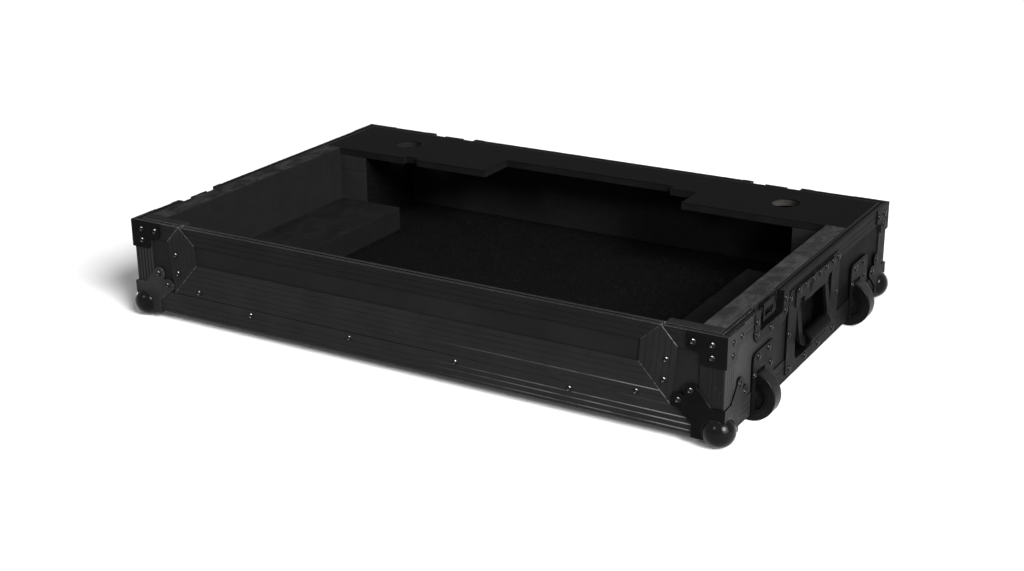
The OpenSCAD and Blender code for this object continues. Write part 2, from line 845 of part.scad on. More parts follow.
module handle_bail_right() { color(steel_black) stand() handle_at("right") bail(); }
module handle_bail_left() { color(steel_black) stand() handle_at("left") bail(); }
module handle_grip_right() { color(rubber_black) stand() handle_at("right") grip(); }
module handle_grip_left() { color(rubber_black) stand() handle_at("left") grip(); }

module handle_pins() {
    reach = recess_w / 2 + handle_t;
    color(steel_black) stand() for (side = ["right", "left"])
        handle_at(side) at_hinge() bar_x(pin_d, -reach, reach);
}

module handle_springs() {
    color(steel_black) stand() for (side = ["right", "left"])
        handle_at(side) {
            return_spring();
            mirror([1, 0, 0]) return_spring();
        }
}

// Tow wheels

module wheel_at(i) {
    on_side("right") translate([wheel_places[i], 0, 0]) children();
}

module at_axle() {
    translate([0, wheel_inset, axle_z]) children();
}

module bracket_plate() {
    left = slot_w / 2 + leg_narrow;
    right = slot_w / 2 + leg_wide;
    slab(-bracket_t, 0) difference() {
        translate([(right - left) / 2, 0]) mirror([0, 1, 0])
            tongue_shape(left + right, -bracket_h, 0, bracket_r);
        translate([-slot_w / 2, -over]) square([slot_w, slot_top + over]);
    }
}

module wheel_bracket() {
    bracket_plate();
    difference() {
        intersection() {
            run_x(-slot_w / 2 - cheek_t, slot_w / 2 + cheek_t) arch_shape(arch_r + cheek_t);
            box([-slot_w, 0, 0], [slot_w, 2 * arch_r, 2 * arch_r]);
        }
        run_x(-slot_w / 2, slot_w / 2) arch_shape(arch_r);
        at_axle() bar_x(axle_d + 2 * seat_gap, -slot_w, slot_w);
    }
}

module wheel_axle() {
    reach = slot_w / 2 + cheek_t;
    at_axle() bar_x(axle_d, -reach, reach);
}

module wheel_hub() {
    bore = axle_d / 2 + axle_gap;
    web = wheel_w / 2 - hub_dish;
    boss = slot_w / 2 - foam_gap;
    at_axle() turned_x() {
        translate([bore, -boss]) square([hub_boss_d / 2 - bore, 2 * boss]);
        translate([bore, -web]) square([hub_d / 2 - bore, 2 * web]);
        translate([hub_d / 2 - hub_rim, -wheel_w / 2 + 1]) square([hub_rim, wheel_w - 2]);
    }
}

module wheel_tyre() {
    at_axle() turned_x() {
        translate([hub_d / 2, -wheel_w / 2]) square([wheel_d / 2 - hub_d / 2 - tyre_r, wheel_w]);
        translate([hub_d / 2, -wheel_w / 2 + tyre_r]) square([wheel_d / 2 - hub_d / 2, wheel_w - 2 * tyre_r]);
        for (y = [-1, 1]) translate([wheel_d / 2 - tyre_r, y * (wheel_w / 2 - tyre_r)]) circle(tyre_r);
    }
}

module wheel_bracket_front() { color(steel_black) stand() wheel_at(0) wheel_bracket(); }
module wheel_bracket_rear() { color(steel_black) stand() wheel_at(1) wheel_bracket(); }
module wheel_axles() { color(steel_black) stand() for (i = [0, 1]) wheel_at(i) wheel_axle(); }
module wheel_hub_front() { color(board_black) stand() wheel_at(0) wheel_hub(); }
module wheel_hub_rear() { color(board_black) stand() wheel_at(1) wheel_hub(); }
module wheel_tyre_front() { color(rubber_black) stand() wheel_at(0) wheel_tyre(); }
module wheel_tyre_rear() { color(rubber_black) stand() wheel_at(1) wheel_tyre(); }

// Drop-in front panel

module panel_board() {
    high = panel_high_corner(web_t);
    low = panel_low_corner(web_t);
    color(board_black) stand() slab(trim_t, inner_x) polygon([high, low, flip(low), flip(high)]);
}

module panel_trim_top() { color(trim_black) stand() grooved_trim("panel_high"); }
module panel_trim_bottom() { color(trim_black) stand() tongued_trim("panel_low"); }
module panel_trim_sides() { color(trim_black) stand() both_ends() tongued_trim("panel_side"); }

// Lift-out rear deck

module deck_shape() {
    tab_x = case_w - right_tab;
    bridge_y = case_d - bridge_depth;
    ledge_y = case_d - ledge_depth;
    notch_y = deck_front + notch_depth;
    notch_end = notch_x + notch_w;
    difference() {
        polygon([[deck_side, deck_front], [notch_x, deck_front], [notch_x, notch_y],
            [notch_end - notch_depth / 3, notch_y], [notch_end, deck_front],
            [left_tab, deck_front], [left_tab, bridge_y], [tab_x - ledge_w, bridge_y],
            [tab_x - ledge_w, ledge_y], [tab_x, ledge_y], [tab_x, deck_front],
            [case_w - deck_side, deck_front], [case_w - deck_side, deck_back], [deck_side, deck_back]]);
        for (x = [finger_x, case_w - finger_x]) translate([x, case_d - finger_y]) circle(d = finger_d);
    }
}

module deck_board() {
    color(board_black) stand() translate([0, 0, deck_under]) linear_extrude(deck_t) deck_shape();
}

module deck_facing() {
    color(foam_grey) stand() translate([0, 0, case_h - facing_t]) linear_extrude(facing_t) deck_shape();
}

// Foam bed and linings

module foam_wall(side) {
    x0 = side == "left" ? rim_w : case_w - foam_x;
    color(foam_grey) stand() difference() {
        box([x0, foam_y, floor_z], [x0 + foam_t, foam_end, foam_top]);
        hardware_cuts(side, pocket_gap);
    }
}

module foam_step(side) {
    x0 = side == "left" ? foam_x + foam_gap : case_w - step_end;
    color(foam_grey) stand() difference() {
        box([x0, foam_y, floor_z], [x0 + step_w, foam_end, step_h]);
        if (side == "right") hardware_cuts(side, pocket_gap);
    }
}

module foam_left() { foam_wall("left"); }
module foam_right() { foam_wall("right"); }
module foam_step_left() { foam_step("left"); }
module foam_step_right() { foam_step("right"); }

module foam_rear_posts() {
    color(foam_grey) stand() difference() {
        both_ends() box([inner_x, deck_front, floor_z], [post_end, case_d - inner_x, deck_under - foam_gap]);
        hardware_cuts("right", pocket_gap);
        hardware_cuts("back", pocket_gap);
    }
}

module foam_front_pads() {
    color(foam_grey) stand() both_ends()
        box([rim_w, rim_w + foam_gap, floor_z], [opening_inset - foam_gap, foam_y - foam_gap, foam_top]);
}

module floor_lining() {
    color(felt_black) stand() {
        box([step_end + foam_gap, inner_x, floor_z],
            [case_w - step_end - foam_gap, case_d - inner_x, floor_z + lining_t]);
        both_ends() box([post_end + foam_gap, deck_front, floor_z],
            [step_end + foam_gap, case_d - inner_x, floor_z + lining_t]);
    }
}

module back_lining() {
    color(felt_black) stand() difference() {
        box([post_end + foam_gap, case_d - inner_x - lining_t, floor_z + lining_t],
            [case_w - post_end - foam_gap, case_d - inner_x, deck_under - foam_gap]);
        hardware_cuts("back", pocket_gap);
    }
}

// Rivets

// Domed head on the plane y = 0, standing out towards -Y
module rivet_head() {
    rivet_profile = [[0, 0], [rivet_d / 2, 0], [rivet_d * 0.42, rivet_h * 0.6], [rivet_d * 0.22, rivet_h],
        [0, rivet_h]];
    rotate([90, 0, 0]) rotate_extrude($fn = 10) polygon(rivet_profile);
}

module rivets_at(places, out) {
    for (p = places) translate([p[0], -out, p[1]]) rivet_head();
}

brace_rivets = [[17, case_h - 12], [brace_arm - 8, case_h - 12], [17, case_h - 28]];
wing_rivets = [[lobe_near, lobe_far], [lobe_far, lobe_near]];
latch_rivets = [for (x = [-1, 1]) for (p = [[latch_w / 2 - 7.5, 12], [latch_w / 2 - 8.5, 28]])
    [x * p[0], case_h - p[1]]];
latch_low_rivet = [[0, case_h - latch_h + 6]];
dish_rivets = [for (x = [-1, 1]) for (p = [[handle_w / 2 - 5, dish_high - 9], [handle_w / 2 - 6, handle_z],
    [handle_w / 2 - 14, dish_low + 8], [24, dish_low + 6]]) [x * p[0], p[1]]];
cover_pitch = (cover_w - 20) / 5;
cover_rivets = [for (i = [0 : 5]) [(i - 2.5) * cover_pitch, cover_row]];
bracket_rivets = [[-slot_w / 2 + 6, bracket_h - 8], [slot_w / 2 + leg_wide / 2 - 3, bracket_h - 8],
    [-slot_w / 2 - leg_narrow / 2, slot_top - 3], [slot_w / 2 + leg_wide / 2 + 5, slot_top - 4]];

module corner_rivets(length) {
    for (p = brace_rivets) for (x = [p[0], length - p[0]]) rivets_at([[x, p[1]]], brace_t);
    for (p = wing_rivets) for (x = [p[0], length - p[0]]) rivets_at([[x, p[1]]], corner_t);
}

module row_rivets(length) {
    first = (length - floor((length - 2 * row_margin) / rivet_pitch) * rivet_pitch) / 2;
    rivets_at([for (x = [first : rivet_pitch : length - row_margin]) [x, rivet_row]], 0);
}

module front_rivets() {
    band = rim_leg / 2 * slant_sec;
    corner_rivets(case_w);
    row_rivets(case_w);
    both_ends() {
        rivets_at([for (z = [case_h - 42, sill_h + 6]) [joint_x(z) - band, z]], 0);
        rivets_at([[joint_x(sill_h) + rim_leg, sill_h - rim_leg + 7]], 0);
    }
}

module side_rivets(side) {
    on_side(side) corner_rivets(case_d);
    latch_at(side) rivets_at(concat(latch_rivets, latch_low_rivet), latch_t);
    handle_at(side) rivets_at(dish_rivets, handle_t);
    handle_at(side) rivets_at(cover_rivets, handle_t + cover_t);
}

module back_rivets() {
    on_side("back") corner_rivets(case_w);
    on_side("back") row_rivets(case_w);
    for (name = ["back_left", "back_right"])
        latch_at(name) rivets_at(concat(latch_rivets, latch_low_rivet), latch_t);
}

module under_rivets() {
    at_corners() for (p = wing_rivets) translate([p[0], p[1], -corner_t]) rotate([90, 0, 0]) rivet_head();
}

module rivets() {
    color(steel_black) stand() {
        front_rivets();
        back_rivets();
        side_rivets("right");
        side_rivets("left");
        for (i = [0, 1]) wheel_at(i) rivets_at(bracket_rivets, bracket_t);
        under_rivets();
    }
}

bottom_panel();
front_wall();
back_wall();
left_wall();
right_wall();
edge_front();
edge_back();
edge_left();
edge_right();
corner_angles();
rim_front_posts();
rim_back();
rim_left();
rim_right();
opening_trim_sides();
opening_trim_sill();
ball_corner_front_left();
ball_corner_front_right();
ball_corner_back_left();
ball_corner_back_right();
corner_braces();
latch_dish_left();
latch_dish_right();
latch_dish_back_left();
latch_dish_back_right();
latch_keeper_left();
latch_keeper_right();
latch_keeper_back_left();
latch_keeper_back_right();
handle_dish_right();
handle_dish_left();
handle_covers();
handle_pins();
handle_springs();
handle_bail_right();
handle_bail_left();
handle_grip_right();
handle_grip_left();
wheel_bracket_front();
wheel_bracket_rear();
wheel_axles();
wheel_hub_front();
wheel_hub_rear();
wheel_tyre_front();
wheel_tyre_rear();
panel_board();
panel_trim_top();
panel_trim_bottom();
panel_trim_sides();
deck_board();
deck_facing();
foam_left();
foam_right();
foam_step_left();
foam_step_right();
foam_rear_posts();
foam_front_pads();
floor_lining();
back_lining();
rivets();
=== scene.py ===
# The dj coffin case on a pale studio floor: finishes for its solids, soft pieces for its foams
# and linings, and fine hardware detail. Lengths are in metres, in the frame of the CAD model.
import math

import bmesh
import bpy
from mathutils import Matrix, Vector, noise


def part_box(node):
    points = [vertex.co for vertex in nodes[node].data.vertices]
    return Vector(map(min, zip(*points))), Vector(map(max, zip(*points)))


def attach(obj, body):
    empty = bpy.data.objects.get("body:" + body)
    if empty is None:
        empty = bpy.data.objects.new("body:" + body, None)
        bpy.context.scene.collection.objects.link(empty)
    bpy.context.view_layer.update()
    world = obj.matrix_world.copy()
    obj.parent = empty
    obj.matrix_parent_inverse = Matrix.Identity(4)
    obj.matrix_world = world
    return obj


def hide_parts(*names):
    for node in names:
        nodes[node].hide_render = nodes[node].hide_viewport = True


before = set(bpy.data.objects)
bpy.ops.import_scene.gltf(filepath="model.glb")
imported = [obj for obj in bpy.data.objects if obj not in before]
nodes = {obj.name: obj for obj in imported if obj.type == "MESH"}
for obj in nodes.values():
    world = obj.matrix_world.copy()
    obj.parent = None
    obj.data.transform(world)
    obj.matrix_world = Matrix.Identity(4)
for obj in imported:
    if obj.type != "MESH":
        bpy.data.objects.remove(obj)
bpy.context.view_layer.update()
MM = 0.001

# The case: its box without fittings, the height of its bottom edge, and its middle across

CASE_W = 0.886
CASE_D = 0.578
CASE_H = 0.130
GROUND = 0.012
TOP = GROUND + CASE_H
MIDDLE_X = (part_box("edge_front")[0].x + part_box("edge_front")[1].x) / 2

# Camera, fitted to the case's corners in the photograph

PHOTO_W = 1024
SENSOR_W = 36.0
FOCAL_PX = 1599.5
CAMERA_AT = Vector((1.06378, -1.84198, 0.82892))
YAW = math.radians(-30.26)
PITCH = math.radians(20.58)
ROLL = math.radians(-0.41)


def add_camera():
    """The photograph's viewpoint: yaw about Z from +Y, down by the pitch, with a slight roll."""
    level = math.cos(PITCH)
    ahead = Vector((math.sin(YAW) * level, math.cos(YAW) * level, -math.sin(PITCH)))
    right = Vector((math.cos(YAW), -math.sin(YAW), 0.0))
    up = right.cross(ahead)
    across = math.cos(ROLL) * right + math.sin(ROLL) * up
    upward = -math.sin(ROLL) * right + math.cos(ROLL) * up
    data = bpy.data.cameras.new("photo_camera")
    data.sensor_fit = "HORIZONTAL"
    data.sensor_width = SENSOR_W
    data.lens = FOCAL_PX * SENSOR_W / PHOTO_W
    camera = bpy.data.objects.new("photo_camera", data)
    turn = Matrix((across, upward, -ahead)).transposed()
    camera.matrix_world = Matrix.Translation(CAMERA_AT) @ turn.to_4x4()
    bpy.context.collection.objects.link(camera)
    bpy.context.scene.camera = camera


add_camera()

# Studio: a pale floor, a wide soft light from the right front, a weaker one from the left front,
# and three soft panels

SIDE_FROM = Vector((0.745, -0.380, 0.548))
SIDE_STRENGTH = 5.3
SIDE_SPREAD = math.radians(24)
FRONT_FROM = Vector((-0.20, -0.76, 0.60))
FRONT_STRENGTH = 0.65
FRONT_SPREAD = math.radians(12)

# Each panel: where it stands, what it faces, its watts, width and height. The first lights the
# right front corner. The others stand below the case's top and light its back and left side.
PANELS = (
    (Vector((0.80, -0.42, 0.22)), Vector((0.44, -0.25, 0.07)), 2.2, 0.30, 0.30),
    (Vector((0.00, 1.30, 0.07)), Vector((0.00, 0.29, 0.06)), 10.0, 0.90, 0.12),
    (Vector((-1.40, 0.10, 0.07)), Vector((-0.45, 0.00, 0.06)), 3.0, 0.60, 0.12),
)

# The floor's own glow to the eye, its colour, half its side, and how far it lies under the wheels.
# The world is white to the eye and in reflections, and this dim as a light.
FLOOR_GLOW = 0.04
FLOOR_COLOUR = 0.90
FLOOR_REACH = 14.0
FLOOR_DROP = 0.3 * MM
WORLD_DIM = 0.10


def add_sun(name, source, strength, spread):
    data = bpy.data.lights.new(name, "SUN")
    data.energy = strength
    data.angle = spread
    lamp = bpy.data.objects.new(name, data)
    lamp.rotation_euler = source.to_track_quat("Z", "Y").to_euler()
    bpy.context.collection.objects.link(lamp)


def add_panel(at, aim, watts, width, height):
    """A soft area light beside the object, not seen itself."""
    data = bpy.data.lights.new("panel_light", "AREA")
    data.shape = "RECTANGLE"
    data.energy = watts
    data.size = width
    data.size_y = height
    lamp = bpy.data.objects.new("panel_light", data)
    lamp.location = at
    lamp.rotation_euler = (at - aim).to_track_quat("Z", "Y").to_euler()
    lamp.visible_camera = False
    bpy.context.collection.objects.link(lamp)


def seen_directly(tree):
    """1 for camera, glossy and transmission rays, else 0."""
    path = tree.nodes.new("ShaderNodeLightPath")
    level = path.outputs["Is Camera Ray"]
    for kind in ("Is Glossy Ray", "Is Transmission Ray"):
        either = tree.nodes.new("ShaderNodeMath")
        either.operation = "MAXIMUM"
        tree.links.new(level, either.inputs[0])
        tree.links.new(path.outputs[kind], either.inputs[1])
        level = either.outputs[0]
    return level


def add_world():
    """White to the camera and in reflections, and dim as a light."""
    world = bpy.data.worlds.new("studio")
    world.use_nodes = True
    bpy.context.scene.world = world
    tree = world.node_tree
    tree.nodes.clear()
    levels = []
    for strength in (WORLD_DIM, 1.0):
        level = tree.nodes.new("ShaderNodeBackground")
        level.inputs["Color"].default_value = (1, 1, 1, 1)
        level.inputs["Strength"].default_value = strength
        levels.append(level.outputs[0])
    mix = tree.nodes.new("ShaderNodeMixShader")
    out = tree.nodes.new("ShaderNodeOutputWorld")
    tree.links.new(seen_directly(tree), mix.inputs[0])
    tree.links.new(levels[0], mix.inputs[1])
    tree.links.new(levels[1], mix.inputs[2])
    tree.links.new(mix.outputs[0], out.inputs["Surface"])


def floor_white():
    """Plain matt white with a faint glow to the eye, so that it goes over into the background."""
    mat = bpy.data.materials.new("floor_white")
    mat.use_nodes = True
    tree = mat.node_tree
    tree.nodes.clear()
    diffuse = tree.nodes.new("ShaderNodeBsdfDiffuse")
    diffuse.inputs["Color"].default_value = (FLOOR_COLOUR, FLOOR_COLOUR, FLOOR_COLOUR, 1)
    glow = tree.nodes.new("ShaderNodeEmission")
    level = tree.nodes.new("ShaderNodeMath")
    level.operation = "MULTIPLY"
    level.inputs[1].default_value = FLOOR_GLOW
    both = tree.nodes.new("ShaderNodeAddShader")
    out = tree.nodes.new("ShaderNodeOutputMaterial")
    tree.links.new(seen_directly(tree), level.inputs[0])
    tree.links.new(level.outputs[0], glow.inputs["Strength"])
    tree.links.new(diffuse.outputs[0], both.inputs[0])
    tree.links.new(glow.outputs[0], both.inputs[1])
    tree.links.new(both.outputs[0], out.inputs["Surface"])
    return mat


def add_floor():
    r = FLOOR_REACH
    mesh = bpy.data.meshes.new("floor")
    mesh.from_pydata([(-r, -r, 0), (r, -r, 0), (r, r, 0), (-r, r, 0)], [], [(0, 1, 2, 3)])
    floor = bpy.data.objects.new("floor", mesh)
    floor.location.z = -FLOOR_DROP
    bpy.context.collection.objects.link(floor)
    mesh.materials.append(floor_white())


bpy.context.scene.view_settings.view_transform = "Standard"
add_world()
add_sun("side", SIDE_FROM, SIDE_STRENGTH, SIDE_SPREAD)
add_sun("front", FRONT_FROM, FRONT_STRENGTH, FRONT_SPREAD)
for panel in PANELS:
    add_panel(*panel)
add_floor()

# Finishes

# Reach of the wear along sharp edges, where the right side lies in X, where the left end starts
# and is full, and the pitch of the ribs on the upright edges
EDGE_WEAR = 0.45 * MM
RIGHT_SIDE = (0.40, 0.42)
LEFT_END = (-0.3, -0.4)
RIB_PITCH = 5.5 * MM


class Finish:
    """A principled material whose colour, roughness and bump come from procedural textures."""

    def __init__(self, name, rough, specular=0.5, metallic=0.0):
        self.mat = bpy.data.materials.new(name)
        self.mat.use_nodes = True
        self.tree = self.mat.node_tree
        self.shader = self.tree.nodes["Principled BSDF"]
        self.shader.inputs["Roughness"].default_value = rough
        self.shader.inputs["Specular IOR Level"].default_value = specular
        self.shader.inputs["Metallic"].default_value = metallic
        self.place = self.add("ShaderNodeTexCoord").outputs["Object"]
        self.normal = None

    def add(self, kind, **values):
        node = self.tree.nodes.new(kind)
        for key, value in values.items():
            setattr(node, key, value)
        return node

    def link(self, a, b):
        self.tree.links.new(a, b)

    def stretched(self, scale):
        node = self.add("ShaderNodeMapping")
        node.inputs["Scale"].default_value = scale
        self.link(self.place, node.inputs["Vector"])
        return node.outputs["Vector"]

    def noise(self, scale, detail=4.0, rough=0.55, stretch=None, distortion=0.0):
        node = self.add("ShaderNodeTexNoise")
        node.inputs["Scale"].default_value = scale
        node.inputs["Detail"].default_value = detail
        node.inputs["Roughness"].default_value = rough
        node.inputs["Distortion"].default_value = distortion
        self.link(self.stretched(stretch) if stretch else self.place, node.inputs["Vector"])
        return node.outputs["Fac"]

    def cells(self, scale):
        node = self.add("ShaderNodeTexVoronoi", feature="F1")
        node.inputs["Scale"].default_value = scale
        self.link(self.place, node.inputs["Vector"])
        return node.outputs["Distance"]

    def axes(self, vector=None):
        """X, Y and Z of a vector, or of the place on the object."""
        node = self.add("ShaderNodeSeparateXYZ")
        self.link(self.place if vector is None else vector, node.inputs[0])
        return node.outputs

    def curve(self, value, low, high, to_low=0.0, to_high=1.0):
        """Turns one range of a value into another, and stays at its ends beyond."""
        node = self.add("ShaderNodeMapRange")
        node.inputs["From Min"].default_value = low
        node.inputs["From Max"].default_value = high
        node.inputs["To Min"].default_value = to_low
        node.inputs["To Max"].default_value = to_high
        self.link(value, node.inputs["Value"])
        return node.outputs["Result"]

    def math(self, operation, a, b=0.0):
        node = self.add("ShaderNodeMath", operation=operation)
        for socket, value in zip(node.inputs, (a, b)):
            if isinstance(value, (int, float)):
                socket.default_value = value
            else:
                self.link(value, socket)
        return node.outputs[0]

    def plus(self, a, b):
        return self.math("ADD", a, b)

    def minus(self, a, b):
        return self.math("SUBTRACT", a, b)

    def times(self, *values):
        product = values[0]
        for value in values[1:]:
            product = self.math("MULTIPLY", product, value)
        return product

    def most(self, a, b):
        return self.math("MAXIMUM", a, b)

    def size(self, value):
        return self.math("ABSOLUTE", value)

    def mix(self, factor, a, b):
        """Goes from a at factor 0 to b at factor 1."""
        node = self.add("ShaderNodeMix", data_type="RGBA")
        self.link(factor, node.inputs["Factor"])
        for socket, value in ((node.inputs["A"], a), (node.inputs["B"], b)):
            if isinstance(value, tuple):
                socket.default_value = value + (1.0,)
            else:
                self.link(value, socket)
        return node.outputs["Result"]

    def colour(self, value):
        self.link(value, self.shader.inputs["Base Color"])

    def roughness(self, value):
        self.link(value, self.shader.inputs["Roughness"])

    def soften(self, radius):
        """Rounds hard edges in the shading."""
        node = self.add("ShaderNodeBevel", samples=4)
        node.inputs["Radius"].default_value = radius
        self.normal = node.outputs["Normal"]

    def bump(self, height, strength, distance):
        node = self.add("ShaderNodeBump")
        node.inputs["Strength"].default_value = strength
        node.inputs["Distance"].default_value = distance
        self.link(height, node.inputs["Height"])
        if self.normal is not None:
            self.link(self.normal, node.inputs["Normal"])
        self.normal = node.outputs["Normal"]

    def edges(self, radius, low=0.02, high=0.25):
        """1 along sharp edges, 0 elsewhere."""
        bevel = self.add("ShaderNodeBevel", samples=4)
        bevel.inputs["Radius"].default_value = radius
        plain = self.add("ShaderNodeNewGeometry")
        dot = self.add("ShaderNodeVectorMath", operation="DOT_PRODUCT")
        self.link(bevel.outputs["Normal"], dot.inputs[0])
        self.link(plain.outputs["Normal"], dot.inputs[1])
        return self.curve(self.minus(1.0, dot.outputs["Value"]), low, high)

    def done(self):
        if self.normal is not None:
            self.link(self.normal, self.shader.inputs["Normal"])
        return self.mat


def grey(value, warm=0.0):
    return (value * (1 + warm), value, value * (1 - warm))


def sheen_towards_front(f, base, tone, facing_side=False):
    """Lightens a colour towards the front end of the right side: a painted sheen, where the light
    falls brightest.
    """
    at = f.axes()
    near = f.curve(at["Y"], 0.0, -CASE_D / 2)
    near = f.times(near, near, f.curve(at["X"], *RIGHT_SIDE))
    if facing_side:
        normal = f.axes(f.add("ShaderNodeTexCoord").outputs["Normal"])
        near = f.times(near, f.curve(normal["X"], 0.5, 0.7))
    return f.mix(near, base, grey(tone))


def laminate(name, tone=1.0, specular=0.03, sheen=0.0):
    """Satin black laminate on the boards: fine orange peel and faint hand marks, and a painted
    sheen towards the front end of the right side when asked for.
    """
    f = Finish(name, 0.5, specular)
    marks = f.noise(9, 5)
    base = f.mix(f.curve(marks, 0.35, 0.7), grey(0.0070 * tone), grey(0.0105 * tone))
    # Painted sheen towards the front end of the right side, when asked for
    f.colour(sheen_towards_front(f, base, sheen) if sheen else base)
    f.roughness(f.curve(f.noise(14, 6, 0.7), 0.3, 0.75, 0.44, 0.62))
    f.soften(0.4 * MM)
    f.bump(f.noise(900, 3), 0.22, 0.05 * MM)
    f.bump(f.noise(60, 2), 0.10, 0.10 * MM)
    return f.done()


def reed_lines(f, at, reeds, bright_marks):
    """Paints highlights on the grooves that catch the light towards the right: their heights and
    strengths.
    """
    for height, level in reeds:
        away = f.size(f.minus(at["Z"], GROUND + height * MM))
        near = f.curve(away, 0.35 * MM, 0.75 * MM, 1.0, 0.0)
        line = f.times(near, f.curve(at["X"], 0.02, 0.34))
        line = f.times(line, f.curve(f.noise(14, 4, 0.6), 0.35, 0.55, 0.25 * level, level))
        bright_marks = f.most(bright_marks, line)
    return bright_marks


def left_ribs(f, at, across, base, tone):
    """Lightens the ribs of an upright extrusion at the left end: painted highlights on the ribs.
    """
    pitch = f.math("FRACT", f.math("DIVIDE", f.minus(CASE_W / 2, across), RIB_PITCH))
    rib = f.curve(f.size(f.minus(pitch, 0.55)), 0.14, 0.34, 1.0, 0.0)
    return f.mix(f.times(rib, f.curve(at["X"], *LEFT_END)), base, grey(tone))


def seam_lines(f, at, across, seams, bright_marks):
    """Adds bright dotted lines, partly bare cut aluminium at the mitres and partly painted glint,
    each from one point to another in X and Z, mirrored about the case's middle, with its
    strength at the left and right."""
    for (x0, z0), (x1, z1), (at_left, at_right) in seams:
        length = math.hypot(x1 - x0, z1 - z0)
        a, b = (x1 - x0) / length, (z1 - z0) / length
        dx = f.minus(across, x0)
        dz = f.minus(at["Z"], z0)
        off = f.minus(f.times(dx, b), f.times(dz, a))
        run_at = f.plus(f.times(dx, a), f.times(dz, b))
        near = f.curve(f.size(off), 0.25 * MM, 0.65 * MM, 1.0, 0.0)
        near = f.times(near, f.curve(at["X"], -0.1, 0.1, at_left, at_right))
        inside = f.math("LESS_THAN", f.size(f.minus(run_at, length / 2)), length / 2)
        dots = f.curve(f.noise(190, 3, 0.7), 0.40, 0.62, 0.12, 1.0)
        bright_marks = f.most(bright_marks, f.times(near, inside, dots))
    return bright_marks


def anodised(name, run, seams=(), bright=None, reeds=(), tone=1.0, wear_and_glint_grey=0.22, soft=0.35,
             specular=0.045, sheen=0.0, ribs=0.0):
    """Black anodised extrusion: die lines along the run, bare aluminium where edges wear, and
    painted glints on mitres, grooves and lips. Bright turns the axes into a mask of painted
    glints, ribs is the tone of painted highlights on the left end's ribs, and a painted sheen can
    lighten the front end of the right side."""
    f = Finish(name, 0.45, specular)
    along = tuple(0.005 if i == run else 1.0 for i in range(3))
    lines = f.noise(1300, 2, 0.6, along)
    patch = f.noise(22, 4, 0.6)
    base = f.mix(f.curve(patch, 0.3, 0.75), grey(0.0078 * tone), grey(0.0115 * tone))
    base = f.mix(f.curve(lines, 0.50, 0.9), base, grey(0.0125 * tone))
    at = f.axes()
    across = f.size(f.minus(at["X"], MIDDLE_X))
    bright_marks = f.times(f.edges(EDGE_WEAR), f.curve(f.noise(46, 4, 0.7), 0.67, 0.78))
    # Painted glints along the edges that the bright mask picks
    if bright:
        shine = f.times(bright(f, at), f.curve(f.noise(30, 4, 0.6), 0.25, 0.6, 0.35, 1.0))
        bright_marks = f.most(bright_marks, f.times(f.edges(0.4 * MM), shine))
    bright_marks = reed_lines(f, at, reeds, bright_marks)
    if ribs:
        base = left_ribs(f, at, across, base, ribs)
    # Painted sheen towards the front end of the right side
    if sheen:
        base = sheen_towards_front(f, base, sheen, True)
    bright_marks = seam_lines(f, at, across, seams, bright_marks)
    f.colour(f.mix(bright_marks, base, grey(wear_and_glint_grey, 0.01)))
    f.roughness(f.curve(lines, 0.3, 0.8, 0.42, 0.58))
    if soft:
        f.soften(soft * MM)
    f.bump(lines, 0.08, 0.03 * MM)
    return f.done()


def enamel(name="steel_enamel", base=0.0026, rough=(0.38, 0.52), worn_by=0.60, sheen=0.0):
    """Black enamel on pressed steel, slightly pebbled, with wear at the edges, and a painted sheen
    towards the front end of the right side when asked for.
    """
    f = Finish(name, 0.42, 0.022)
    tone = f.noise(30, 4)
    colour = f.mix(f.curve(tone, 0.35, 0.7), grey(base), grey(base * 1.6))
    # Painted sheen towards the front end of the right side
    if sheen:
        colour = sheen_towards_front(f, colour, sheen, True)
    patches = f.curve(f.noise(60, 4, 0.7), worn_by, worn_by + 0.14)
    f.colour(f.mix(f.times(f.edges(EDGE_WEAR), patches), colour, grey(0.16, 0.01)))
    f.roughness(f.curve(f.noise(45, 5, 0.65), 0.3, 0.75, *rough))
    f.soften(0.6 * MM)
    f.bump(f.noise(520, 3), 0.25, 0.06 * MM)
    return f.done()


def ball_enamel(middle_x, reach_x, reach_y, height, radius):
    """Corner fittings: pebbled enamel on the plates, polished black on the ball itself."""
    f = Finish("ball_enamel", 0.3, 0.3)
    at = f.axes()
    dx = f.minus(f.size(f.minus(at["X"], middle_x)), reach_x)
    dy = f.minus(f.size(at["Y"]), reach_y)
    dz = f.minus(at["Z"], height)
    square = f.plus(f.times(dx, dx), f.times(dy, dy))
    reach = f.math("SQRT", f.plus(square, f.times(dz, dz)))
    on_ball = f.curve(reach, radius + 1.2 * MM, radius + 0.3 * MM)
    on_plate = f.minus(1.0, on_ball)
    tone = f.curve(f.noise(30, 4), 0.35, 0.7)
    black = f.mix(tone, grey(0.0014), grey(0.0028))
    # The plates are lighter towards the left end
    left_lighter = f.mix(tone, grey(0.013), grey(0.022))
    colour = f.mix(f.times(f.curve(at["X"], *LEFT_END), on_plate), black, left_lighter)
    # Painted sheen on the plates towards the front end of the right side
    colour = f.mix(on_ball, sheen_towards_front(f, colour, 0.013, True), colour)
    bright_marks = f.times(f.edges(EDGE_WEAR), f.curve(f.noise(60, 4, 0.7), 0.54, 0.66))
    f.colour(f.mix(bright_marks, colour, grey(0.30, 0.01)))
    pebbled = f.curve(f.noise(45, 5, 0.65), 0.3, 0.75, 0.40, 0.54)
    polished = f.curve(f.noise(70, 5, 0.7), 0.35, 0.8, 0.13, 0.21)
    f.roughness(f.plus(f.times(polished, on_ball), f.times(pebbled, on_plate)))
    f.link(f.curve(on_ball, 0, 1, 0.035, 0.10), f.shader.inputs["Specular IOR Level"])
    f.soften(0.6 * MM)
    f.bump(f.noise(520, 3), 0.12, 0.05 * MM)
    return f.done()


